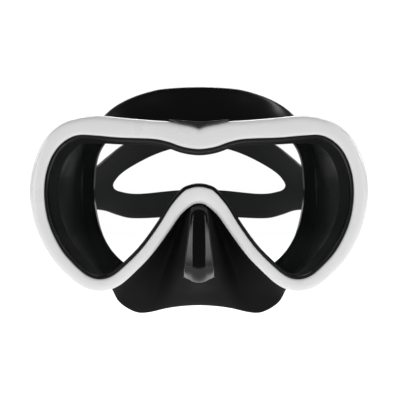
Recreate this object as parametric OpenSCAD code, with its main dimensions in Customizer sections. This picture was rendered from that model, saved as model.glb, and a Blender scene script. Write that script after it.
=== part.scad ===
// Diving mask with a single lens, silicone skirt and split head strap.
// Millimetres, +Z up, +Y towards the wearer. Y = 0 is the depth of the forehead and lip seal,
// X = 0 the mid-plane. "Right" is the +X side.

/* [Frame] */
// depth from the front plane of the frame to the forehead seal
face_depth = 42; // [38:0.5:46]
// front-to-back thickness of the rim
rim_depth = 12; // [12:0.2:13]
// rounding step on the outer front edge of the rim
rim_edge = 1.2; // [0.6:0.1:1.5]
// thickness of the glass
glass_thickness = 4; // [3.9:0.02:4]

/* [Skirt] */
// wall thickness of the skirt
skirt_wall = 1.9; // [1.4:0.1:2.2]
// how far the gasket lips reach over the glass
lip_reach = 1.6; // [1.5:0.1:3]

/* [Buckles] */
// depth of the buckle pivots behind the front plane
pivot_depth = 19; // [18.5:0.1:19.5]
// height of the buckle pivots
pivot_height = 5; // [3:0.5:7]
// radius of the pivot pins
pivot_radius = 2; // [1.8:0.05:2.2]
// radius of the strap rollers
roller_radius = 2.6; // [2.3:0.1:2.6]
// radial clearance of the turning pins
pin_gap = 0.05; // [0.03:0.01:0.08]

/* [Strap] */
// thickness of the strap
strap_thickness = 2.2; // [1.8:0.1:2.3]
// half of the strap's width at the buckles
strap_half_width = 11; // [9:0.5:11]
// depth behind the front plane where the strap starts to curve round the head
strap_turn = 90; // [86:1:95]
// length of the curved rear part of the strap
strap_rear = 96; // [85:1:100]
// spacing of the ribs on the strap's tail
rib_pitch = 3; // [2.5:0.25:4]

/* [Hidden] */
$fn = 48;
sub = 2;

// rim stations from the top centre round to the top of the nose notch:
// [lens edge x, z, band width, skirt start offset, bend x, depth, z, flange edge x, depth, z, flare]
stations = [
    [0, 25.6, 12.9, -0.8, 0, 42, 60.3, 0, 48, 50, 1.7],
    [8, 26.7, 11.9, -0.8, 8, 42, 60.1, 8, 48.3, 49.8, 1.7],
    [16, 29.4, 10.4, -0.8, 16, 42.3, 59.7, 16, 49, 49, 1.7],
    [24, 30.8, 9.4, -0.8, 24, 43, 58.7, 24.5, 50, 47.6, 1.7],
    [40, 31.4, 10.1, -1, 36, 45, 55.3, 34, 52, 44.2, 1.6],
    [52, 32.4, 10.2, -1.4, 45.4, 48, 50.8, 41.5, 54.5, 40, 1.5],
    [61, 32.6, 8.5, -2.2, 52.5, 53, 45.4, 48, 57, 34.6, 1.3],
    [68, 29.3, 8, -3, 58.5, 60, 38.5, 53, 61, 29.2, 1],
    [73.5, 22.8, 7.4, -3.2, 63.5, 67, 29.5, 56.5, 67, 22, 0.8],
    [77, 13, 7.2, -3.2, 66.6, 72.5, 17.5, 58, 71, 12.5, 0.8],
    [77.8, 2.5, 7.3, -3.2, 67.5, 74, 4, 58.4, 72.5, 3, 0.8],
    [76.5, -8, 7, -3.2, 66.8, 72.5, -8.5, 56.8, 70.5, -8, 0.8],
    [73.5, -17, 6.7, -3.2, 64.5, 69, -18.5, 53.8, 66.5, -18.5, 0.9],
    [68.5, -26, 6.5, -3.2, 61, 63, -28.5, 49.9, 62, -25.4, 1],
    [62, -33.3, 6.3, -3.2, 56, 56.5, -37.5, 45.5, 58, -30.5, 1],
    [56, -38.2, 6.1, -2, 50.5, 52, -44, 41.5, 55.5, -34, 1],
    [49.8, -39.9, 6, 0.5, 47, 50.5, -48.7, 38, 53.5, -36.8, 1],
    [43.4, -38.1, 5.9, 3.5, 45.3, 50, -52.6, 35, 52, -39, 1],
    [36.1, -32.1, 5.7, 6, 43.2, 50, -55.6, 32, 51, -41, 1.1],
    [28.1, -23.8, 5.7, 6.7, 39.5, 50, -58.4, 28, 50, -43, 1.2],
    [20.1, -12.8, 5.8, 6.8, 33, 50, -61, 23.5, 49, -44.8, 1.3],
    [14, -3, 6.6, 7.6, 26, 49, -60.3, 18, 48, -46, 1.3],
    [8, 4, 8.2, 8.5, 18, 45.5, -58.2, 12, 47, -46.7, 1.3],
    [4, 6, 8.3, 9.2, 9.5, 43.2, -56.8, 6, 46.2, -47, 1.3],
    [0, 6.6, 8.4, 9.6, 0, 42, -56.2, 0, 46, -47, 1.3]];
half = len(stations) - 1;
count = 2 * half * sub;

// mirrored station rows, and a smooth curve through them
function flip(r) = [-r[0], r[1], r[2], r[3], -r[4], r[5], r[6], -r[7], r[8], r[9], r[10]];
function wrap(k) = (k + 4 * half) % (2 * half);
function row(k) = wrap(k) <= half ? stations[wrap(k)] : flip(stations[2 * half - wrap(k)]);
function blend(a, b, c, d, t) =
    0.5 * (2 * b + (c - a) * t + (2 * a - 5 * b + 4 * c - d) * t * t + (3 * b - a - 3 * c + d) * t * t * t);
function curve(pts, steps) = let(n = len(pts)) concat(
    [for (i = [0 : n - 2]) for (s = [0 : steps - 1])
        blend(pts[max(i - 1, 0)], pts[i], pts[i + 1], pts[min(i + 2, n - 1)], s / steps)],
    [pts[n - 1]]);
rows = [for (k = [0 : 2 * half - 1]) for (s = [0 : sub - 1])
    blend(row(k - 1), row(k), row(k + 1), row(k + 2), s / sub)];
edge = [for (r = rows) [r[0], r[1]]];
function unit(v) = v / norm(v);
outward = [for (i = [0 : count - 1])
    let(d = unit(edge[(i + 1) % count] - edge[(i + count - 1) % count])) [-d[1], d[0]]];
function off(i, u) = edge[i] + u * outward[i];
function ring2(u) = [for (i = [0 : count - 1]) off(i, u)];
function rim2(less) = [for (i = [0 : count - 1]) off(i, rows[i][2] - less)];

// places a flat outline between two depths behind the front plane
module slab(front, back) {
    translate([0, back - face_depth, 0])
        rotate([90, 0, 0])
            linear_extrude(height = back - front)
                children();
}
// a body standing along Z between two heights; children are drawn as [x, depth]
module post(low, high) {
    translate([0, -face_depth, low])
        linear_extrude(height = high - low)
            children();
}
// a round bar along X
module bar_x(x0, x1, depth, z, r) {
    translate([x0, depth - face_depth, z])
        rotate([0, 90, 0])
            cylinder(h = x1 - x0, r = r);
}
module block(x0, x1, f0, f1, z0, z1) {
    translate([x0, f0 - face_depth, z0])
        cube([x1 - x0, f1 - f0, z1 - z0]);
}

// ---------- rim ----------
seat_wide = 4.3;
lug_in = 79.6;
lug_out = 82.6;
glass_front = 3.35;
groove_front = 3.3;
groove_back = glass_front + glass_thickness + 0.05;

module clip2(grow) {
    low = curve([[-15 - grow, 40.4], [-9, 38.7 - grow], [-4, 37.6 - grow], [0, 36.4 - grow],
        [4, 37.6 - grow], [9, 38.7 - grow], [15 + grow, 40.4]], 3);
    polygon(concat(low, [[9, 39.9 + grow], [0, 39.3 + grow], [-9, 39.9 + grow]]));
}
module lug_bar() {
    difference() {
        union() {
            block(lug_in, lug_out, 9.6, pivot_depth, pivot_height - 6, pivot_height + 6);
            bar_x(lug_in, lug_out, pivot_depth, pivot_height, 6);
            block(lug_in, 83.4, 9.6, rim_depth, pivot_height - 6, pivot_height + 6);
        }
        bar_x(lug_in - 1, lug_out + 1, pivot_depth, pivot_height, pivot_radius + pin_gap);
    }
}
module front_frame() {
    color([0.93, 0.93, 0.93])
    union() {
        difference() {
            union() {
                slab(0, rim_edge + 0.01) polygon(rim2(rim_edge));
                slab(rim_edge, rim_depth - 0.8) polygon(rim2(0));
                slab(rim_depth - 0.81, rim_depth) polygon(rim2(0.8));
            }
            slab(-1, 2.01) polygon(ring2(0));
            slab(2, 9.31) polygon(ring2(3));
            slab(9.3, rim_depth + 1) polygon(ring2(seat_wide));
            slab(-1, 8.1) clip2(0.08);
        }
        lug_bar();
        mirror([1, 0, 0]) lug_bar();
    }
}
module retainer_ring() {
    color([0.16, 0.16, 0.17])
    difference() {
        slab(9.35, rim_depth + 0.3)
            difference() {
                polygon(ring2(seat_wide - 0.1));
                polygon(ring2(0.6));
            }
        for (side = [-1, 1])
            block(side * 81.4 - 2, side * 81.4 + 2, 9, rim_depth + 1, pivot_height - 6.4, pivot_height + 6.4);
    }
}
module lens() {
    color([0.8, 0.9, 0.95, 0.35])
    slab(glass_front, glass_front + glass_thickness)
        polygon(ring2(1.5));
}
module top_clip() {
    color([0.08, 0.08, 0.08])
    slab(-0.6, 8)
        clip2(0);
}

// ---------- skirt ----------
steps_body = 8;
// share of the way from the skirt's root to its bend, ring by ring
away = [0, 0.12, 0.27, 0.42, 0.56, 0.7, 0.84, 1];
// nose ridge: height and depth of its centre line, ring by ring
ridge_z = [-3, -3.6, -15, -25.5, -34.8, -41.2, -47.5, -56.2];
ridge_f = [13.4, 1.2, -4, -7, -9.2, -4.4, 19.5, 42];
// flat front of the ridge, half its width, and the width of the slanted facet beside it, ring by ring
ridge_flat = 3;
ridge_side = [0.6, 0.9, 2.1, 3.2, 4.1, 2.6, 4.2, 4.8];
function mix(a, b, t) = a + (b - a) * t;
function clamp(v) = max(0, min(1, v));
// across the ridge from the centre to its foot: share of the width and of the fall
function ridge_x(k, j, wide) = let(s = (ridge_flat + ridge_side[j]) / wide)
    lookup(k, [[0, 0], [2, ridge_flat / wide], [3, s], [4, mix(s, 1, 0.2)], [5, mix(s, 1, 0.55)], [6, 1]]);
function ridge_fall(k, j, deep) = let(s = 0.37 * ridge_side[j] / max(deep, 8))
    lookup(k, [[0, 0], [2, 0], [3, s], [4, 0.14], [5, 0.5], [6, 1]]);
// plain path of one station: [x, depth, z]
function plain(i, j) = let(r = rows[i], t = away[j], s = off(i, r[3]), f0 = 13.4 + 2.6 * clamp((3.5 - r[3]) / 6.7),
    g = pow(t, r[10]), low = clamp((3.5 - r[3]) / 6.7),
    f = mix(f0, r[5], mix(t, pow(t, 0.85), low)))
    [mix(s[0], r[4], g), f, mix(s[1], r[6], g)];
// stations counted away from the notch's top, for the ridge
mid = half * sub;
foot = 3 * sub;
function nose_step(i) = abs(i - mid);
function ridge(i, j) = let(k = nose_step(i), side = i > mid ? -1 : 1, a = plain(mid - foot, j), r = rows[i],
    late = clamp((j - 4) / 3),
    share = mix(ridge_x(k, j, a[0]), abs(r[4]) / 26, late),
    fall = mix(ridge_fall(k, j, a[1] - ridge_f[j]), clamp((r[5] - 42) / 7), late),
    // the tip's lower edge curves up at its two ends
    smile = j == 5 ? 2.4 * pow(min(k, 3) / 3, 2) * min(1, (6 - k) / 3) : 0,
    z0 = mix(ridge_z[j], a[2], share * share) + smile)
    [side * share * a[0], mix(ridge_f[j], a[1], fall), j == 7 ? r[6] : z0];
function body(i, j) = nose_step(i) < foot ? ridge(i, j) : plain(i, j);
// flange from the bend to the face opening
function flange(i, t) = let(r = rows[i], b = [r[4], r[5], r[6]], f = [r[7], r[8], r[9]],
    p = mix(b, f, t)) [p[0], p[1] + 3.2 * sin(180 * pow(t, 0.6)) * (1 - 0.3 * t), p[2]];
raw = [for (j = [0 : 7]) [for (i = [0 : count - 1]) body(i, j)]];
// the nose pocket's creases are eased by averaging neighbouring stations
function eased(i, j) = nose_step(i) > foot + 2 || j == 0 || j == 7 ? raw[j][i] :
    0.5 * raw[j][i] + 0.25 * (raw[j][i - 1] + raw[j][i + 1]);
skin = [for (j = [0 : 7]) [for (i = [0 : count - 1]) eased(i, j)]];
tail = [for (t = [0.12, 0.5, 1]) [for (i = [0 : count - 1]) flange(i, t)]];
sheet = concat(skin, tail);
last = len(sheet) - 1;
function at(i, u, f) = let(p = off(i, u)) [p[0], f, p[1]];
// the root steps in behind the seat, clear of the buckles
root_step = -0.8;
// the wall thins at the bend and at the flange's edge
thin = [1, 1, 1, 1, 1, 0.95, 0.8, 0.5, 0.55, 0.75, 0.65];
function away_from(i, j) = let(p = j == 0 ? at(i, root_step, 12.6) : sheet[j - 1][i], q = sheet[min(j + 1, last)][i],
    a = sheet[j][(i + 1) % count], b = sheet[j][(i + count - 1) % count])
    unit(cross(a - b, q - p));
facing = [for (j = [0 : last]) [for (i = [0 : count - 1]) away_from(i, j)]];
function soft_facing(i, j) = unit(2 * facing[j][i] + facing[j][(i + 1) % count] + facing[j][(i + count - 1) % count]
    + (j > 0 && j < 8 ? facing[j - 1][i] + facing[j + 1][i] : 2 * facing[j][i]));
function thinner(i, j) = thin[j] * (nose_step(i) < foot && j < 2 ? 0.6 : nose_step(i) < foot + 2 && j > 4 ? 0.75 : 1);
function inner(i, j) = sheet[j][i] - skirt_wall * thinner(i, j) * soft_facing(i, j);
function loop_ring(k) = [for (i = [0 : count - 1])
    k == 0 ? at(i, -lip_reach, 2.1) :
    k == 1 ? at(i, 2.9, 2.1) :
    k == 2 ? at(i, 2.9, 9.2) :
    k == 3 ? at(i, 0.4, 9.2) :
    k == 4 ? at(i, root_step, 12.6) :
    k < 5 + last + 1 ? sheet[k - 5][i] :
    k < 5 + 2 * (last + 1) ? inner(i, 2 * last + 6 - k) :
    k == 5 + 2 * (last + 1) ? at(i, -2, 12.6 + 2 * clamp((rows[i][3] + 3.2) / 6.7)) :
    k == 6 + 2 * (last + 1) ? at(i, -lip_reach, groove_back) :
    k == 7 + 2 * (last + 1) ? at(i, 1.6, groove_back) :
    k == 8 + 2 * (last + 1) ? at(i, 1.6, groove_front) :
    at(i, -lip_reach, groove_front)];
loops = 10 + 2 * (last + 1);
module skirt() {
    points = [for (k = [0 : loops - 1]) for (p = loop_ring(k)) [p[0], p[1] - face_depth, p[2]]];
    faces = [for (k = [0 : loops - 1]) for (i = [0 : count - 1]) for (h = [0, 1])
        let(a = k * count + i, b = k * count + (i + 1) % count,
            c = ((k + 1) % loops) * count + (i + 1) % count, d = ((k + 1) % loops) * count + i)
        // inner and outer quads are cut along the same diagonal
        k > 5 + last && k < 4 + 2 * (last + 1) ? (h == 0 ? [a, d, b] : [b, d, c]) :
        h == 0 ? [a, c, b] : [a, d, c]];
    color([0.05, 0.05, 0.055])
    polyhedron(points = points, faces = faces, convexity = 8);
}

// ---------- strap ----------
roller_x = 80.2;
roller_depth = 36;
run_in = roller_x - roller_radius - 0.3 - strap_thickness;
run_out = roller_x + roller_radius + 0.3 + strap_thickness;
band_mid = run_in + strap_thickness / 2;
tail_x = run_in + strap_thickness + 0.6;

// profile of the strap seen from the front
function strap_top() = curve([[0, 51], [22, 47.5], [38, 41.5], [48.5, 35.2], [57.6, 27], [64, 20.5], [70, 17],
    [75, 5 + strap_half_width]], 3);
function strap_low() = curve([[75, 5 - strap_half_width], [68, -5.8], [59.4, -6.6], [51.2, -9.7], [42.1, -11.8],
    [22, -11.2], [0, -9.8]], 3);
function slot_edge() = curve([[0, 36.4], [17.6, 33.5], [31.6, 28.4], [46, 20.1], [53.4, 13.4], [55.2, 9.2],
    [50.6, 5.4], [39, 4], [17.6, 6.1], [0, 7.2]], 3);
module both(pts) {
    polygon(pts);
    mirror([1, 0]) polygon(pts);
}
module strap_profile() {
    difference() {
        both(concat([[-0.01, 51]], strap_top(), [[90, 5 + strap_half_width], [90, 5 - strap_half_width]],
            strap_low(), [[-0.01, -9.8]]));
        both(concat([[-0.01, 36.4]], slot_edge(), [[-0.01, 7.2]]));
    }
}
// plan of one tail: round the roller, out, back in against the band
module tail_plan() {
    translate([run_in, roller_depth]) square([strap_thickness, strap_turn - roller_depth]);
    intersection() {
        difference() {
            translate([roller_x, roller_depth]) circle(r = roller_x - run_in);
            translate([roller_x, roller_depth]) circle(r = roller_radius + 0.3);
        }
        translate([run_in - 1, roller_depth - 8]) square([14, 8.01]);
    }
    path = curve([[run_out, roller_depth], [run_out, 41], [run_out, 46], [run_out - 3.4, 56],
        [tail_x + strap_thickness, 64.5], [tail_x + strap_thickness, 92]], 3);
    polygon(concat(path, [for (k = [len(path) - 1 : -1 : 0]) [path[k][0] - strap_thickness, path[k][1]]]));
    for (f = [roller_depth + 3 : rib_pitch : 45.5])
        translate([run_out - 0.2, f]) square([0.5, 1]);
    for (f = [80.5 : rib_pitch : 91])
        translate([tail_x + strap_thickness - 0.2, f]) square([0.35, 1]);
}
module strap_plan() {
    tail_plan();
    mirror([1, 0]) tail_plan();
    difference() {
        translate([0, strap_turn]) scale([(band_mid + strap_thickness / 2) / 100,
            (strap_rear + strap_thickness / 2) / 100]) circle(r = 100, $fn = 120);
        translate([0, strap_turn]) scale([(band_mid - strap_thickness / 2) / 100,
            (strap_rear - strap_thickness / 2) / 100]) circle(r = 100, $fn = 120);
        translate([-100, strap_turn - 200]) square([200, 200]);
    }
}
module strap() {
    color([0.07, 0.07, 0.075])
    intersection() {
        post(-30, 60) strap_plan();
        slab(20, 200) strap_profile();
    }
}

// ---------- buckle, drawn for the right side ----------
wall_low = [-8.7, -6.7];
wall_high = [16.7, 18.7];
lever_x = 87.5;
lever_depth = 47;
module buckle_body() {
    color([0.1, 0.1, 0.11])
    difference() {
        union() {
            for (ear = [[76.6, 79.3], [82.9, 85.4]]) {
                bar_x(ear[0], ear[1], pivot_depth, pivot_height, 5.5);
                block(ear[0], ear[1], pivot_depth, 28, pivot_height - 5.5, pivot_height + 5.5);
            }
            block(73.6, 86, 27, 29.5, wall_low[0], wall_high[1]);
            block(73.4, 74.6, 27, 58, wall_low[0], wall_high[1]);
            for (w = [wall_low, wall_high])
                post(w[0], w[1])
                    polygon([[73.4, 28], [86, 28], [86, 40], [88.2, 43.6], [89, 45.4], [89, 48.6], [88.2, 50.4], [86, 54], [84, 58], [73.4, 58]]);
        }
        bar_x(70, 90, pivot_depth, pivot_height, pivot_radius + 0.02);
        post(-12, 22) translate([roller_x, roller_depth]) circle(r = 1.22);
        post(-12, 22) translate([lever_x, lever_depth]) circle(r = 1.02);
    }
}
module pivot_pin() {
    color([0.7, 0.7, 0.72])
    union() {
        bar_x(75.9, 86.1, pivot_depth, pivot_height, pivot_radius);
        bar_x(75.4, 76.5, pivot_depth, pivot_height, 3);
        bar_x(85.5, 86.1, pivot_depth, pivot_height, 3);
    }
}
module roller() {
    color([0.75, 0.75, 0.77])
    post(-6.4, 16.4)
        translate([roller_x, roller_depth])
            difference() {
                circle(r = roller_radius);
                circle(r = 1.2 + pin_gap);
            }
}
module roller_pin() {
    color([0.6, 0.6, 0.62])
    union() {
        post(-9.1, 19.1) translate([roller_x, roller_depth]) circle(r = 1.2);
        post(18.75, 19.4) translate([roller_x, roller_depth]) circle(r = 1.9);
        post(-9.4, -8.75) translate([roller_x, roller_depth]) circle(r = 1.9);
    }
}
module release_lever() {
    color([0.12, 0.12, 0.13])
    difference() {
        union() {
            post(-5.5, 15.5)
                polygon([[85.9, 45.2], [86.6, 42], [86.6, 39], [85.9, 38], [85.9, 37], [87.4, 35.8], [88.8, 40.5],
                    [89.2, 45], [89.2, 49], [88.6, 54], [87.6, 60], [86.3, 60.2], [85.9, 55], [85.9, 49]]);
            post(-6.4, 16.4) translate([lever_x, lever_depth]) circle(r = 1.6);
        }
        post(-12, 22) translate([lever_x, lever_depth]) circle(r = 1 + pin_gap);
        post(2, 8) translate([lever_x, lever_depth]) circle(r = 2.2);
        post(2, 8) polygon([[84, 44.5], [86.6, 44.5], [86.6, 49.5], [84, 49.5]]);
    }
}
module lever_pin() {
    color([0.6, 0.6, 0.62])
    union() {
        post(-9.1, 19.1) translate([lever_x, lever_depth]) circle(r = 1);
        post(18.75, 19.3) translate([lever_x, lever_depth]) circle(r = 1.4);
        post(-9.3, -8.75) translate([lever_x, lever_depth]) circle(r = 1.4);
    }
}
module lever_spring() {
    color([0.65, 0.65, 0.67])
    union() {
        for (k = [0 : 10])
            translate([lever_x, lever_depth - face_depth, 2.6 + 0.46 * k])
                rotate_extrude()
                    translate([1.3, 0])
                        circle(r = 0.24, $fn = 16);
        post(2.36, 2.84) translate([lever_x - 1.52, lever_depth - 2.2]) square([0.4, 2.4]);
    }
}
module strap_keeper() {
    color([0.09, 0.09, 0.1])
    difference() {
        block(run_in - 2, tail_x + strap_thickness + 2, 70, 78, -8, 18);
        block(run_in - 0.4, tail_x + strap_thickness + 0.45, 69, 79, -6.4, 16.4);
    }
}

module buckle_body_right() buckle_body();
module buckle_body_left() mirror([1, 0, 0]) buckle_body();
module pivot_pin_right() pivot_pin();
module pivot_pin_left() mirror([1, 0, 0]) pivot_pin();
module roller_right() roller();
module roller_left() mirror([1, 0, 0]) roller();
module roller_pin_right() roller_pin();
module roller_pin_left() mirror([1, 0, 0]) roller_pin();
module release_lever_right() release_lever();
module release_lever_left() mirror([1, 0, 0]) release_lever();
module lever_pin_right() lever_pin();
module lever_pin_left() mirror([1, 0, 0]) lever_pin();
module lever_spring_right() lever_spring();
module lever_spring_left() mirror([1, 0, 0]) lever_spring();
module strap_keeper_right() strap_keeper();
module strap_keeper_left() mirror([1, 0, 0]) strap_keeper();

front_frame();
retainer_ring();
lens();
skirt();
top_clip();
strap();
buckle_body_right();
buckle_body_left();
pivot_pin_right();
pivot_pin_left();
roller_right();
roller_left();
roller_pin_right();
roller_pin_left();
release_lever_right();
release_lever_left();
lever_pin_right();
lever_pin_left();
lever_spring_right();
lever_spring_left();
strap_keeper_right();
strap_keeper_left();
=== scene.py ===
"""Looks for the diving mask. Everything is in metres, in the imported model's frame:
+Y towards the wearer, +Z up, y = 0 at the depth of the forehead and lip seal."""
import math

import bmesh
import bpy
import numpy as np
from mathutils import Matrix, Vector


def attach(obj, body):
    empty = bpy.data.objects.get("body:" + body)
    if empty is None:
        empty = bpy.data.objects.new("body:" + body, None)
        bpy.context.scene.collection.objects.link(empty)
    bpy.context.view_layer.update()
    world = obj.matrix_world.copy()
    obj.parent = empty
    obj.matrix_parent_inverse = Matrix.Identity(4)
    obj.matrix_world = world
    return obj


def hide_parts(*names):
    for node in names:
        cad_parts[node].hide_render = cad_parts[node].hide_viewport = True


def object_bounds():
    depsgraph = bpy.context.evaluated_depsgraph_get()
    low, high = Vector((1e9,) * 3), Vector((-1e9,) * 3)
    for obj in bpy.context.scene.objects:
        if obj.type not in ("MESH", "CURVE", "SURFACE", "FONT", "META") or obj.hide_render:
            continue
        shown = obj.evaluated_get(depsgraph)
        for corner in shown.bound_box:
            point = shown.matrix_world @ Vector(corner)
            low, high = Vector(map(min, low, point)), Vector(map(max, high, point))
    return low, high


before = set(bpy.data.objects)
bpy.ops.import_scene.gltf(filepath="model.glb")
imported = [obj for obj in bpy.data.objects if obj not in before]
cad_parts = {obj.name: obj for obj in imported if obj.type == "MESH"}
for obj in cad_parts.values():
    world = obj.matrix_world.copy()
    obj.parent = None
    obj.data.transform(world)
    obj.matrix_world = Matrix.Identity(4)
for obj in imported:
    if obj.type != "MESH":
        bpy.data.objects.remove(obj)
cad_box = [list(v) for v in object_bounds()]
scene = bpy.context.scene
FACE = 42.0  # depth of the forehead seal behind the rim's front plane
SUB = 6  # samples from one station to the next
PIVOT_DEPTH, PIVOT_Z = 19.0, 5.0  # the buckle pivots, which are also the strap's mid height

# ---------------------------------------------------------------- shape of the rim and the skirt
# [lens edge x, z, band width, skirt start, bend x, depth, z, flange edge x, depth, z, flare], in mm
STATIONS = [
    [0, 25.6, 12.9, -0.8, 0, 42, 60.3, 0, 48, 50, 1.7],
    [8, 26.7, 11.9, -0.8, 8, 42, 60.1, 8, 48.3, 49.8, 1.7],
    [16, 29.4, 10.4, -0.8, 16, 42.3, 59.7, 16, 49, 49, 1.7],
    [24, 30.8, 9.4, -0.8, 24, 43, 58.7, 24.5, 50, 47.6, 1.7],
    [40, 31.4, 10.1, -1, 36, 45, 55.3, 34, 52, 44.2, 1.6],
    [52, 32.4, 10.2, -1.4, 45.4, 48, 50.8, 41.5, 54.5, 40, 1.5],
    [61, 32.6, 8.5, -2.2, 52.5, 53, 45.4, 48, 57, 34.6, 1.3],
    [68, 29.3, 8, -3, 58.5, 60, 38.5, 53, 61, 29.2, 1],
    [73.5, 22.8, 7.4, -3.2, 63.5, 67, 29.5, 56.5, 67, 22, 0.8],
    [77, 13, 7.2, -3.2, 66.6, 72.5, 17.5, 58, 71, 12.5, 0.8],
    [77.8, 2.5, 7.3, -3.2, 67.5, 74, 4, 58.4, 72.5, 3, 0.8],
    [76.5, -8, 7, -3.2, 66.8, 72.5, -8.5, 56.8, 70.5, -8, 0.8],
    [73.5, -17, 6.7, -3.2, 64.5, 69, -18.5, 53.8, 66.5, -18.5, 0.9],
    [68.5, -26, 6.5, -3.2, 61, 63, -28.5, 49.9, 62, -25.4, 1],
    [62, -33.3, 6.3, -3.2, 56, 56.5, -37.5, 45.5, 58, -30.5, 1],
    [56, -38.2, 6.1, -2, 50.5, 52, -44, 41.5, 55.5, -34, 1],
    [49.8, -39.9, 6, 0.5, 47, 50.5, -48.7, 38, 53.5, -36.8, 1],
    [43.4, -38.1, 5.9, 3.5, 45.3, 50, -52.6, 35, 52, -39, 1],
    [36.1, -32.1, 5.7, 6, 43.2, 50, -55.6, 32, 51, -41, 1.1],
    [28.1, -23.8, 5.7, 6.7, 39.5, 50, -58.4, 28, 50, -43, 1.2],
    [20.1, -12.8, 5.8, 6.8, 33, 50, -61, 23.5, 49, -44.8, 1.3],
    [14, -3, 6.6, 7.6, 26, 49, -60.3, 18, 48, -46, 1.3],
    [8, 4, 8.2, 8.5, 18, 45.5, -58.2, 12, 47, -46.7, 1.3],
    [4, 6, 8.3, 9.2, 9.5, 43.2, -56.8, 6, 46.2, -47, 1.3],
    [0, 6.6, 8.4, 9.6, 0, 42, -56.2, 0, 46, -47, 1.3]]
# share of the way from the skirt's root to its bend, ring by ring
AWAY = [0, 0.12, 0.27, 0.42, 0.56, 0.7, 0.84, 1]
# nose ridge, ring by ring: height and depth of its centre line, and the width of the slanted side facets
RIDGE_Z = [-3, -3.6, -15, -25.5, -34.8, -41.2, -47.5, -56.2]
RIDGE_F = [13.4, 1.2, -4, -7, -9.2, -4.4, 19.5, 42]
RIDGE_SIDE = [0.6, 0.9, 2.1, 3.2, 4.1, 2.6, 4.2, 4.8]
RIDGE_FLAT = 3  # half the width of its flat front


def mix(a, b, t):
    return a + (b - a) * t


def clamp(v):
    return max(0.0, min(1.0, v))


def spline(points, steps, closed=False):
    """Catmull-Rom through the points, with steps samples a span."""
    p = np.asarray(points, float)
    n = len(p)
    out = []
    for i in range(n if closed else n - 1):
        if closed:
            a, b, c, d = p[(i - 1) % n], p[i], p[(i + 1) % n], p[(i + 2) % n]
        else:
            a, b, c, d = p[max(i - 1, 0)], p[i], p[i + 1], p[min(i + 2, n - 1)]
        for k in range(steps):
            t = k / steps
            out.append(0.5 * (2 * b + (c - a) * t + (2 * a - 5 * b + 4 * c - d) * t ** 2
                              + (3 * b - a - 3 * c + d) * t ** 3))
    if not closed:
        out.append(p[-1])
    return np.array(out)


half = np.array(STATIONS, float)
other = half[-2:0:-1].copy()
other[:, [0, 4, 7]] *= -1
ROWS = spline(np.vstack([half, other]), SUB, closed=True)
N = len(ROWS)
MID = (len(STATIONS) - 1) * SUB
FOOT = 3 * SUB
EDGE = ROWS[:, :2]
step = np.roll(EDGE, -1, 0) - np.roll(EDGE, 1, 0)
step /= np.linalg.norm(step, axis=1)[:, None]
OUT = np.c_[-step[:, 1], step[:, 0]]


def place(points):
    """[x, depth, z] in mm to metres in the row frame."""
    p = np.asarray(points, float).reshape(-1, 3)
    return np.c_[p[:, 0], p[:, 1] - FACE, p[:, 2]] / 1000


def ring(u, f):
    """One ring round the lens: u outwards and f back, each a number or one value a station."""
    u = np.broadcast_to(u, (N,))
    f = np.broadcast_to(f, (N,))
    q = EDGE + u[:, None] * OUT
    return np.c_[q[:, 0], f, q[:, 1]]


def tube_faces(rings, around, wrap_rings=True):
    """Quads over rings of points; the last ring meets the first one if wrap_rings."""
    faces = []
    for k in range(rings if wrap_rings else rings - 1):
        for i in range(around):
            j = (i + 1) % around
            m = (k + 1) % rings
            faces.append((k * around + i, k * around + j, m * around + j, m * around + i))
    return faces


def piece(name, points, faces, body, mat, sharp, stands_for=()):
    """A smooth-shaded mesh object on a body; sharp is the angle, in degrees, from which edges stay."""
    me = bpy.data.meshes.new(name)
    me.from_pydata([tuple(v) for v in points], [], faces)
    bm = bmesh.new()
    bm.from_mesh(me)
    bmesh.ops.remove_doubles(bm, verts=bm.verts, dist=1e-7)
    bmesh.ops.recalc_face_normals(bm, faces=bm.faces)
    bm.to_mesh(me)
    bm.free()
    me.polygons.foreach_set("use_smooth", [True] * len(me.polygons))
    me.set_sharp_from_angle(angle=math.radians(sharp))
    ob = bpy.data.objects.new(name, me)
    scene.collection.objects.link(ob)
    me.materials.append(mat)
    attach(ob, body)
    if stands_for:
        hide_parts(*stands_for)
    return ob


def modifier(ob, kind, **values):
    m = ob.modifiers.new(kind.lower(), kind)
    for k, v in values.items():
        setattr(m, k, v)
    return m


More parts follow.
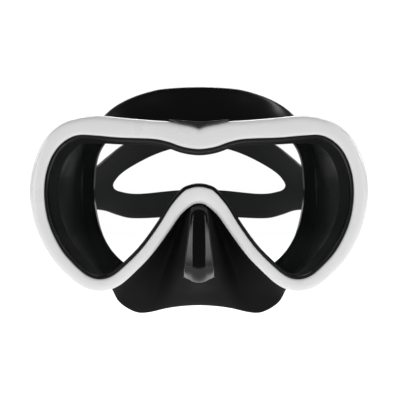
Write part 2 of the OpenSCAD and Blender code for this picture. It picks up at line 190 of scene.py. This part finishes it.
# ---------------------------------------------------------------- materials
def material(name, base, vary=0.15, vary_scale=25, rough=(0.3, 0.4), rough_scale=60,
             grain=0.05, grain_scale=1500, waves=0.0, waves_scale=120, **shader):
    """Procedural: cloudy colour variation, patchy roughness, fine grain and slow waves in the normal."""
    m = bpy.data.materials.new(name)
    m.use_nodes = True
    nt = m.node_tree
    bsdf = nt.nodes["Principled BSDF"]
    for key, value in shader.items():
        bsdf.inputs[key.replace("_", " ")].default_value = value
    where = nt.nodes.new("ShaderNodeTexCoord")

    def noise(scale, detail=3.0):
        n = nt.nodes.new("ShaderNodeTexNoise")
        n.inputs["Scale"].default_value = scale
        n.inputs["Detail"].default_value = detail
        nt.links.new(where.outputs["Object"], n.inputs["Vector"])
        return n.outputs["Fac"]

    ramp = nt.nodes.new("ShaderNodeValToRGB")
    ramp.color_ramp.elements[0].position = 0.3
    ramp.color_ramp.elements[1].position = 0.7
    ramp.color_ramp.elements[0].color = (*[c * (1 - vary) for c in base], 1)
    ramp.color_ramp.elements[1].color = (*[min(1, c * (1 + vary)) for c in base], 1)
    nt.links.new(noise(vary_scale), ramp.inputs["Fac"])
    nt.links.new(ramp.outputs["Color"], bsdf.inputs["Base Color"])
    span = nt.nodes.new("ShaderNodeMapRange")
    span.inputs["From Min"].default_value = 0.3
    span.inputs["From Max"].default_value = 0.7
    span.inputs["To Min"].default_value = rough[0]
    span.inputs["To Max"].default_value = rough[1]
    nt.links.new(noise(rough_scale, 5.0), span.inputs["Value"])
    nt.links.new(span.outputs["Result"], bsdf.inputs["Roughness"])
    slow = nt.nodes.new("ShaderNodeBump")
    slow.inputs["Strength"].default_value = waves
    slow.inputs["Distance"].default_value = 0.002
    nt.links.new(noise(waves_scale, 1.0), slow.inputs["Height"])
    fine = nt.nodes.new("ShaderNodeBump")
    fine.inputs["Strength"].default_value = grain
    fine.inputs["Distance"].default_value = 0.0003
    nt.links.new(noise(grain_scale, 2.0), fine.inputs["Height"])
    nt.links.new(slow.outputs["Normal"], fine.inputs["Normal"])
    nt.links.new(fine.outputs["Normal"], bsdf.inputs["Normal"])
    return m


rim_mat = material("white_rim", (0.7, 0.7, 0.7), vary=0.02, rough=(0.26, 0.36), grain=0.06,
                   grain_scale=2200, waves=0.02, Coat_Weight=0.25, Coat_Roughness=0.15)
silicone_mat = material("black_silicone", (0.0032, 0.0032, 0.0034), vary=0.3, rough=(0.15, 0.23),
                        rough_scale=40, grain=0.004, grain_scale=900, waves=0.03, waves_scale=45,
                        IOR=1.41)
satin_mat = material("satin_silicone", (0.0045, 0.0045, 0.0048), vary=0.25, rough=(0.26, 0.36),
                     rough_scale=40, grain=0.02, waves=0.03, waves_scale=45, Specular_IOR_Level=0.2)
matte_mat = material("frosted_silicone", (0.011, 0.011, 0.0115), vary=0.2, rough=(0.5, 0.62),
                     rough_scale=40, grain=0.06, grain_scale=1700, waves=0.02, waves_scale=45,
                     Specular_IOR_Level=0.005)
strap_mat = material("strap_silicone", (0.0036, 0.0036, 0.0038), vary=0.2, rough=(0.42, 0.58),
                     grain=0.08, grain_scale=1800, waves=0.03, Specular_IOR_Level=0.14)
keeper_mat = material("keeper_rubber", (0.014, 0.014, 0.015), vary=0.2, rough=(0.45, 0.6),
                      grain=0.15, grain_scale=1400)
buckle_mat = material("buckle_plastic", (0.016, 0.016, 0.017), vary=0.2, rough=(0.38, 0.5),
                      grain=0.25, grain_scale=2600, waves=0.02)
lever_mat = material("lever_plastic", (0.028, 0.028, 0.03), rough=(0.32, 0.45), grain=0.2,
                     grain_scale=2600)
ring_mat = material("ring_plastic", (0.012, 0.012, 0.013), vary=0.2, rough=(0.4, 0.55), grain=0.2,
                    grain_scale=2000)
clip_mat = material("clip_plastic", (0.012, 0.012, 0.012), vary=0.2, rough=(0.2, 0.3),
                    Coat_Weight=0.3)
pin_mat = material("steel_pin", (0.5, 0.5, 0.51), vary=0.12, rough=(0.22, 0.36), grain=0.1,
                   grain_scale=3000, Metallic=1.0)
roller_mat = material("steel_roller", (0.55, 0.55, 0.56), vary=0.1, rough=(0.16, 0.28),
                      Metallic=1.0)
spring_mat = material("steel_wire", (0.42, 0.42, 0.43), rough=(0.3, 0.42), grain=0.1,
                      Metallic=1.0)
glass_mat = material("tempered_glass", (0.05, 0.058, 0.055), vary=0.02, rough=(0.01, 0.03),
                     grain=0.0, Alpha=0.03, IOR=1.5)

# ---------------------------------------------------------------- rim
# lower edge of the top clip's seat, which the rim's face ends at
clip_low = spline([[-15.1, 40.4], [-9, 38.6], [-4, 37.5], [0, 36.3], [4, 37.5], [9, 38.6],
                   [15.1, 40.4]], 8)
width = ROWS[:, 2].copy()
notched = width.copy()
for i in range(N):
    if abs(EDGE[i, 0]) < 15 and EDGE[i, 1] > 20:
        notched[i] = min(width[i], np.interp(EDGE[i, 0], clip_low[:, 0], clip_low[:, 1]) - EDGE[i, 1])
curl = np.clip(0.46 * notched, 2.2, 3.6)
RIM_BACK = 12.0
SEAT, SEAT_DEPTH = 4.35, 9.3  # the retainer ring's seat
GROOVE, GROOVE_DEPTH = 3.0, 2.0  # the gasket's seat
rings = []
# the rounded outer edge, the clip's notch, the outer side and the back
for a in (90, 72, 54, 36, 18, 0):
    c, s = math.cos(math.radians(a)), math.sin(math.radians(a))
    rings.append(ring(notched - curl * (1 - c), curl * (1 - s) * 0.92))
rings += [ring(notched, 8.0), ring(width, 8.1), ring(width, 10.6),
          ring(width - 0.35, RIM_BACK - 0.5), ring(width - 1.2, RIM_BACK)]
# the two seats
rings += [ring(SEAT + 0.25, RIM_BACK), ring(SEAT, RIM_BACK - 0.2), ring(SEAT, SEAT_DEPTH),
          ring(GROOVE, SEAT_DEPTH), ring(GROOVE, GROOVE_DEPTH)]
# the rounded inner edge
rings += [ring(u, f) for u, f in ((0.35, GROOVE_DEPTH), (0.02, 1.7), (0.0, 1.0), (0.12, 0.55),
                                  (0.42, 0.2), (0.9, 0.04), (1.5, 0.0))]
rings.append(ring(np.minimum(2.2, notched - curl - 0.2), 0.0))
rim = piece("rim_shell", place(np.vstack(rings)), tube_faces(len(rings), N), "mask", rim_mat, 50,
            ["front_frame"])


LUG_IN, LUG_OUT = 79.6, 82.6
LUG_RADIUS, LUG_FOOT = 6.0, 9.6  # round at the back, and square in front, where it meets the rim
LUG_CHAMFER, LUG_ROUND = 0.35, 0.45
BORE, BORE_FLARE = 2.05, 2.35


def lug(side):
    """Rear lug with its bore, drawn as rings round the bore."""
    n = 48
    outline = []
    for k in range(n):
        a = 2 * math.pi * k / n
        dy, dz = math.cos(a), math.sin(a)
        reach = LUG_RADIUS
        if dy < 0:
            reach = min(LUG_FOOT / max(-dy, 1e-6), LUG_RADIUS / max(abs(dz), 1e-6))
        outline.append((dy, dz, reach))

    def around(x, radii):
        return [[side * x, PIVOT_DEPTH + dy * r, PIVOT_Z + dz * r]
                for (dy, dz, reach), r in zip(outline, radii)]

    inner, outer = LUG_IN + LUG_CHAMFER, LUG_OUT - LUG_CHAMFER
    pts = [around(x, [reach - shrink for _, _, reach in outline])
           for x, shrink in ((LUG_IN, LUG_ROUND), (inner, 0), (outer, 0), (LUG_OUT, LUG_ROUND))]
    pts += [around(x, [r] * n)
            for x, r in ((LUG_OUT, BORE_FLARE), (outer, BORE), (inner, BORE), (LUG_IN, BORE_FLARE))]
    return piece("rim_lug_" + ("right" if side > 0 else "left"), place(np.vstack(pts)),
                 tube_faces(len(pts), n), "mask", rim_mat, 30)


for side in (1, -1):
    lug(side)


# ---------------------------------------------------------------- skirt
def plain(i, j):
    """A point of the outer skirt: sample i of the row round the lens, ring j from root to bend."""
    r = ROWS[i]
    s = EDGE[i] + r[3] * OUT[i]
    low = clamp((3.5 - r[3]) / 6.7)
    t = AWAY[j]
    g = t ** r[10]
    return [mix(s[0], r[4], g), mix(13.4 + 2.6 * low, r[5], mix(t, t ** 0.85, low)), mix(s[1], r[6], g)]


def ridge(i, j):
    """The same on the nose, where the rings run over the ridge and its facets."""
    k = abs(i - MID) / SUB * 2
    side = -1 if i > MID else 1
    a = plain(MID - FOOT, j)
    r = ROWS[i]
    late = clamp((j - 4) / 3)
    x2, x3 = RIDGE_FLAT, RIDGE_FLAT + RIDGE_SIDE[j]
    e = min(0.35, 0.3 * RIDGE_SIDE[j])
    slant = 0.37 / max(a[1] - RIDGE_F[j], 8)
    # stations crowd at the two creases, so that they stay crisp
    at = [0, 5 / 3, 2, 7 / 3, 8 / 3, 3, 10 / 3, 4, 5, 6]
    xs = np.array([0, x2 - e, x2, x2 + e, x3 - e, x3, x3 + e, mix(x3, a[0], 0.2),
                   mix(x3, a[0], 0.55), a[0]])
    foot = slant * RIDGE_SIDE[j]
    drop = [0, 0, 0, slant * e, slant * (RIDGE_SIDE[j] - e), foot, foot + 0.012, 0.14, 0.5, 1]
    across = np.interp(k, at, xs / a[0])
    fall = np.interp(k, at, drop)
    share = mix(across, abs(r[4]) / 26, late)
    fall = mix(fall, clamp((r[5] - 42) / 7), late)
    # the tip's lower edge curves up at its two ends
    smile = 2.4 * (min(k, 3) / 3) ** 2 * min(1, (6 - k) / 3) if j == 5 else 0
    z = mix(RIDGE_Z[j], a[2], share * share) + smile
    return [side * share * a[0], mix(RIDGE_F[j], a[1], fall), r[6] if j == 7 else z]


sheet = np.array([[ridge(i, j) if abs(i - MID) < FOOT else plain(i, j) for i in range(N)]
                  for j in range(len(AWAY))])
flange = []
for t in (0.12, 0.5, 1):
    b, f = ROWS[:, 4:7], ROWS[:, 7:10]
    p = mix(b, f, t)
    p[:, 1] += 3.2 * math.sin(math.radians(180 * t ** 0.6)) * (1 - 0.3 * t)
    flange.append(p)
sheet = np.concatenate([sheet, np.array(flange)])
# smooth resampling from the root to the flange's edge, in FINE steps from ring to ring
FINE = 4
fine = spline(sheet.reshape(len(sheet), -1), FINE).reshape(-1, N, 3)
calm = np.clip((np.abs(np.arange(N) - MID) - 2.0 * SUB) / SUB, 0, 1)[None, :, None]
for _ in range(3):
    even = 0.5 * fine + 0.25 * (np.roll(fine, 1, 1) + np.roll(fine, -1, 1))
    fine[3:-3] = (fine + calm * (even - fine))[3:-3]


def normals(grid):
    """Unit normals of a grid of points that closes on itself along its rows."""
    a = np.roll(grid, -1, 1) - np.roll(grid, 1, 1)
    b = np.gradient(grid, axis=0)
    n = np.cross(a, b)
    return n / np.linalg.norm(n, axis=2)[:, :, None]


WALL = 1.9
THIN = [1, 1, 1, 1, 1, 0.95, 0.8, 0.5, 0.55, 0.75, 0.65]
wall = WALL * np.interp(np.linspace(0, 10, len(fine)), range(11), THIN)
facing = normals(fine)
for _ in range(3):
    facing = facing + 0.5 * (np.roll(facing, 1, 1) + np.roll(facing, -1, 1))
    facing[1:-1] += 0.5 * (facing[2:] + facing[:-2])
    facing /= np.linalg.norm(facing, axis=2)[:, :, None]
inside = fine - facing * wall[:, None, None]
LIP = 1.6  # how far the gasket's lips reach over the glass
# the loop round the section: gasket, outer wall, inner wall, and the rear lip
front = [ring(-LIP, 2.75), ring(-LIP + 0.1, 2.35), ring(-LIP + 0.4, 2.12), ring(-LIP + 0.8, 2.1),
         ring(2.9, 2.1), ring(2.9, 9.2), ring(0.5, 9.2), ring(0.4, 9.35), ring(0.3, 10),
         ring(-0.8, 12.6)]
back = [ring(-2.0, 12.6 + 2 * np.clip((ROWS[:, 3] + 3.2) / 6.7, 0, 1)), ring(-LIP, 9.0),
        ring(-LIP, 7.5), ring(1.6, 7.5), ring(1.6, 3.3), ring(-LIP + 0.1, 3.3), ring(-LIP, 3.1)]
loop = front + list(fine) + list(inside[::-1]) + back
skirt = piece("skirt_shell", place(np.vstack(loop)), tube_faces(len(loop), N), "mask",
              silicone_mat, 60, ["skirt"])
# finishes: polished nose ridge, eye walls and lower gasket, satin outer sides and upper gasket, and
# frosted lip, finger wells, inner forehead wall and inner root
POLISHED, SATIN, FROSTED = 0, 1, 2
skirt.data.materials.append(satin_mat)
skirt.data.materials.append(matte_mat)
RIDGE_END, NOSE_END, BROW_START = 10, 10 * SUB, 17 * SUB  # samples from the middle of the nose
TIP_RING = 5  # the polished part of the ridge ends at its tip
for face in skirt.data.polygons:
    k = face.index // N
    i = abs(face.index % N + 0.5 - MID)
    j = (k - len(front)) / FINE
    outer = len(front) - 1 <= k < len(front) + len(fine) - 1
    inner = k >= len(front) + len(fine)
    if k >= len(loop) - len(back) - 2 or (i > BROW_START and inner):
        face.material_index = FROSTED
    elif outer and i < NOSE_END:
        face.material_index = POLISHED if i < RIDGE_END and j < TIP_RING else FROSTED
    elif k < len(loop) - len(back) and (outer or i > BROW_START):
        face.material_index = SATIN


# ---------------------------------------------------------------- strap
CROTCH, CROTCH_Z = 55.2, 9.2  # where the slot ends
BAND_X = 76.2  # the band's middle line at the sides
TURN_DEPTH, REAR_REACH = 90, 96  # where it starts to curve round the head, and how much further it goes
ROLLER_X, ROLLER_DEPTH, ROLLER_TURN = 80.2, 36, 4
HALF_WIDTH = 11.0
SLOT_END = 4.5  # length of the slot's rounded end
TAIL_END, TAIL_CUT = 7, 6  # the tail's rounded end: its length, and how much it takes off each edge
# edges of the rear part as [x, z], from the middle outwards
top_edge = spline([[0, 51], [22, 47.5], [38, 41.5], [48.5, 35.2], [57.6, 27], [64, 20.5],
                   [70, 17], [75, 16]], 6)
low_edge = spline([[75, -6], [68, -5.8], [59.4, -6.6], [51.2, -9.7], [42.1, -11.8], [22, -11.2],
                   [0, -9.8]], 6)[::-1]
slot_top = spline([[0, 36.4], [17.6, 33.5], [31.6, 28.4], [46, 20.1], [53.4, 13.4],
                   [CROTCH, CROTCH_Z]], 6)
slot_low = spline([[0, 7.2], [17.6, 6.1], [39, 4], [50.6, 5.4], [CROTCH, CROTCH_Z]], 6)


def side_path():
    """Middle line of the strap's right half, from the tail's end to the back: [x, depth]."""
    tail = spline([[79, 92], [79, 84], [79, 76], [79, 64.5], [80.8, 56], [84.2, 46], [84.2, 41],
                   [84.2, ROLLER_DEPTH]], 6)[:-1]
    turn = [[ROLLER_X + ROLLER_TURN * math.cos(math.radians(a)),
             ROLLER_DEPTH - ROLLER_TURN * math.sin(math.radians(a))] for a in range(0, 180, 12)]
    run = [[BAND_X, f] for f in np.arange(ROLLER_DEPTH, TURN_DEPTH, 3.0)]
    rear = [[BAND_X * math.cos(a), TURN_DEPTH + REAR_REACH * math.sin(a)]
            for a in np.radians(np.r_[0:40:1.25, 40:50:0.5, 50:90:1.25])]
    return np.array(list(tail) + turn + run + rear + [[0, TURN_DEPTH + REAR_REACH]])


path = side_path()
on_rear = path[:, 1] >= TURN_DEPTH
on_rear[:30] = False  # the tail's own end reaches as far back
# a station exactly at the crotch
k0 = next(k for k in range(len(path)) if on_rear[k] and path[k, 0] < CROTCH)
a0 = math.acos(CROTCH / BAND_X)
path = np.insert(path, k0, [CROTCH, TURN_DEPTH + REAR_REACH * math.sin(a0)], axis=0)
on_rear = np.insert(on_rear, k0, True)
mirror = path[-2::-1].copy()
mirror[:, 0] *= -1
full = np.vstack([path, mirror])
rear_flag = np.concatenate([on_rear, on_rear[-2::-1]])
M = len(full)
length = np.r_[0, np.cumsum(np.linalg.norm(np.diff(full, axis=0), axis=1))]
HALF_ROWS = 7  # rows of points across each of the two bands


def edges_at(k):
    """Heights of the two bands at a station: low edge, slot's low and top edge, top edge."""
    x = abs(full[k, 0])
    lo, hi = PIVOT_Z - HALF_WIDTH, PIVOT_Z + HALF_WIDTH
    if rear_flag[k]:
        hi = float(np.interp(x, top_edge[:, 0], top_edge[:, 1]))
        lo = float(np.interp(x, low_edge[:, 0], low_edge[:, 1]))
    end = min(length[k], length[-1] - length[k])
    if end < TAIL_END:
        cut = TAIL_CUT * (1 - math.sqrt(max(0.0, 1 - (1 - end / TAIL_END) ** 2)))
        lo, hi = lo + cut, hi - cut
    if rear_flag[k] and x <= CROTCH:
        # the slot's end is half an ellipse on the two edges, carried on in straight lines
        d = CROTCH - x
        end = math.sqrt(max(0.0, 1 - (1 - d / SLOT_END) ** 2)) if d < SLOT_END else 1.0
        near = min(x, CROTCH - SLOT_END)
        low, top = (float(np.interp(near, e[:, 0], e[:, 1])) + slope * (x - near)
                    for e, slope in ((slot_low, 0.1), (slot_top, -0.85)))
        return lo, mix(CROTCH_Z, low, end), mix(CROTCH_Z, top, end), hi
    middle = PIVOT_Z
    if rear_flag[k]:
        middle = mix(PIVOT_Z, CROTCH_Z, clamp((BAND_X - x) / (BAND_X - CROTCH)))
    return lo, middle, middle, hi


verts, index = [], {}
for k in range(M):
    lo, a, b, hi = edges_at(k)
    shared = b - a < 1e-6
    for band, (p, q) in enumerate(((lo, a), (b, hi))):
        for r in range(HALF_ROWS):
            if shared and band == 1 and r == 0:
                index[k, 1, 0] = index[k, 0, HALF_ROWS - 1]
                continue
            index[k, band, r] = len(verts)
            verts.append([full[k, 0], full[k, 1], mix(p, q, r / (HALF_ROWS - 1))])
faces = []
for k in range(M - 1):
    for band in (0, 1):
        for r in range(HALF_ROWS - 1):
            faces.append((index[k, band, r], index[k + 1, band, r], index[k + 1, band, r + 1],
                          index[k, band, r + 1]))
strap = piece("strap_band", place(verts), faces, "strap_harness", strap_mat, 180, ["strap"])
modifier(strap, "SOLIDIFY", thickness=0.0022, offset=0, use_even_offset=True)
modifier(strap, "BEVEL", width=0.0007, segments=3, limit_method="ANGLE",
         angle_limit=math.radians(50))


RIB_SIZE = (0.55, 1.1, 20)
# the tail's moulded ribs as (x, depth): beside the roller, and behind the keeper at its rear limit
RIBS = [(85.3, f) for f in (39.5, 42.5, 45.5)] + [(79.95, f) for f in (81.5, 84.5, 87.5)]


def ribs(side):
    """The six moulded ribs of one tail, as one object."""
    bm = bmesh.new()
    for x, f in RIBS:
        centre = (side * x, f - FACE, PIVOT_Z)
        for v in bmesh.ops.create_cube(bm, size=1)["verts"]:
            v.co = [(c + size * at) / 1000 for c, size, at in zip(centre, RIB_SIZE, v.co)]
    me = bpy.data.meshes.new("ribs")
    bm.to_mesh(me)
    bm.free()
    ob = bpy.data.objects.new("strap_ribs_" + ("right" if side > 0 else "left"), me)
    scene.collection.objects.link(ob)
    me.materials.append(strap_mat)
    modifier(ob, "BEVEL", width=0.0002, segments=2)
    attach(ob, "strap_harness")


for side in (1, -1):
    ribs(side)


# ---------------------------------------------------------------- keepers
KEEPER_X = (73.15, 82.05)
KEEPER_Z = (-7.95, 17.95)
# (inset from the outline, corner radius, depth): outside from front to back, then the hole
KEEPER_LOOPS = ((0.5, 1.5, 70.0), (0.15, 1.85, 70.15), (0, 2, 70.5), (0, 2, 71.6), (0.3, 1.7, 72.2),
                (0.3, 1.7, 75.8), (0, 2, 76.4), (0, 2, 77.5), (0.15, 1.85, 77.85), (0.5, 1.5, 78.0),
                (1.3, 0.9, 78.0), (1.55, 0.7, 77.7), (1.55, 0.7, 70.3), (1.3, 0.9, 70.0))


def keeper(side):
    """Rubber loop round the strap and its tail."""
    name = "strap_keeper_" + ("right" if side > 0 else "left")
    (x0, x1), (z0, z1) = KEEPER_X, KEEPER_Z

    def outline(inset, r):
        pts = []
        b = inset + r
        for cx, cz, start in ((x1 - b, z1 - b, 0), (x0 + b, z1 - b, 90), (x0 + b, z0 + b, 180),
                              (x1 - b, z0 + b, 270)):
            for a in range(start, start + 91, 15):
                pts.append([cx + r * math.cos(math.radians(a)), cz + r * math.sin(math.radians(a))])
        return np.array(pts)

    loops = []
    for inset, r, f in KEEPER_LOOPS:
        o = outline(inset, r)
        loops.append(np.c_[side * o[:, 0], np.full(len(o), f), o[:, 1]])
    return piece(name + "_loop", place(np.vstack(loops)), tube_faces(len(loops), len(loops[0])),
                 name, keeper_mat, 60, [name])


for side in (1, -1):
    keeper(side)

# ---------------------------------------------------------------- CAD pieces that stay
FINISH = {"retainer_ring": ring_mat, "lens": glass_mat, "top_clip": clip_mat}
for side in ("right", "left"):
    FINISH.update({"buckle_body_" + side: buckle_mat, "pivot_pin_" + side: pin_mat,
                   "roller_" + side: roller_mat, "roller_pin_" + side: pin_mat,
                   "release_lever_" + side: lever_mat, "lever_pin_" + side: pin_mat,
                   "lever_spring_" + side: spring_mat})
for node, mat in FINISH.items():
    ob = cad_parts[node]
    ob.data.materials.clear()
    ob.data.materials.append(mat)
    if node.startswith(("buckle", "release", "top_clip")):
        modifier(ob, "WELD", merge_threshold=0.00001)
        modifier(ob, "BEVEL", width=0.00035, segments=3, limit_method="ANGLE",
                 angle_limit=math.radians(40), harden_normals=True)

# ---------------------------------------------------------------- studio
# the mask is held up, clear of the floor by more than the strap's back drops at its lowest swing
SWING_ROOM = 0.024
FLOOR = cad_box[0][2] - SWING_ROOM


def stage_material(name, grey, glow):
    m = bpy.data.materials.new(name)
    m.use_nodes = True
    b = m.node_tree.nodes["Principled BSDF"]
    b.inputs["Base Color"].default_value = (grey, grey, grey, 1)
    b.inputs["Roughness"].default_value = 0.9
    b.inputs["Specular IOR Level"].default_value = 0.0
    b.inputs["Emission Color"].default_value = (1, 1, 1, 1)
    b.inputs["Emission Strength"].default_value = glow
    return m


def turned(name, prof, mat):
    """A surface of revolution about Z from [radius, height] in metres."""
    n = 96
    v = [(r * math.cos(2 * math.pi * k / n), r * math.sin(2 * math.pi * k / n), z)
         for r, z in prof for k in range(n)]
    me = bpy.data.meshes.new(name)
    me.from_pydata(v, [], tube_faces(len(prof), n, wrap_rings=False))
    me.polygons.foreach_set("use_smooth", [True] * len(me.polygons))
    ob = bpy.data.objects.new(name, me)
    scene.collection.objects.link(ob)
    me.materials.append(mat)
    return ob


STUDIO = 2.6
HUB = 0.0005  # radius of the small hole in the middle of a turned surface
turned("studio_floor", [(r, FLOOR) for r in (HUB, 0.6, 1.5, STUDIO)],
       stage_material("floor_white", 0.35, 1.02))
# the pale backdrop all round is only seen by the camera, and gives and stops no light
dome = turned("studio_backdrop", [(STUDIO, FLOOR)] + [
    (STUDIO * math.cos(math.radians(a)) + HUB, FLOOR + STUDIO * math.sin(math.radians(a)))
    for a in range(6, 91, 6)], stage_material("backdrop_white", 0, 1.06))
dome.visible_diffuse = False
dome.visible_glossy = False
dome.visible_shadow = False


def soft_light(name, where, target, size, power):
    """A rectangular light that the camera does not see."""
    light = bpy.data.lights.new(name, "AREA")
    light.shape = "RECTANGLE"
    light.size, light.size_y = size
    light.energy = power
    ob = bpy.data.objects.new(name, light)
    scene.collection.objects.link(ob)
    ob.location = where
    d = Vector(target) - Vector(where)
    ob.rotation_euler = d.to_track_quat("-Z", "Y").to_euler()
    ob.visible_camera = False


soft_light("strip_left", (-0.66, -0.7, 0.3), (0, -0.04, 0), (0.2, 1.15), 3.55)
soft_light("strip_right", (0.66, -0.7, 0.3), (0, -0.04, 0), (0.2, 1.15), 3.55)
soft_light("back_soft", (0.0, 1.0, 0.95), (0, 0.05, 0), (1.0, 0.4), 9.0)
for side, hand in ((1, "right"), (-1, "left")):
    soft_light("side_" + hand, (side * 1.15, 0.3, 0.55), (0, 0.02, 0), (0.8, 0.45), 5.3)
    soft_light("window_" + hand, (side * 0.42, 1.4, 0.42), (0, 0.02, 0), (0.2, 0.2), 0.2)

# the small window that the forehead part mirrors on its right end
soft_light("window_top", (0.6, 0.2, 0.82), (0.05, 0, 0.05), (0.22, 0.22), 1.2)

world = bpy.data.worlds.new("studio_world")
scene.world = world
world.use_nodes = True
world.node_tree.nodes["Background"].inputs["Color"].default_value = (1, 1, 1, 1)
world.node_tree.nodes["Background"].inputs["Strength"].default_value = 0.06

cam = bpy.data.cameras.new("camera")
cam.sensor_width = 36
cam.lens = 107.7
cam.clip_start = 0.01
camera = bpy.data.objects.new("camera", cam)
scene.collection.objects.link(camera)
camera.location = (0.0005, -0.642, 0.0)
camera.rotation_euler = (math.radians(90), 0, 0)
scene.camera = camera
scene.view_settings.view_transform = "Standard"
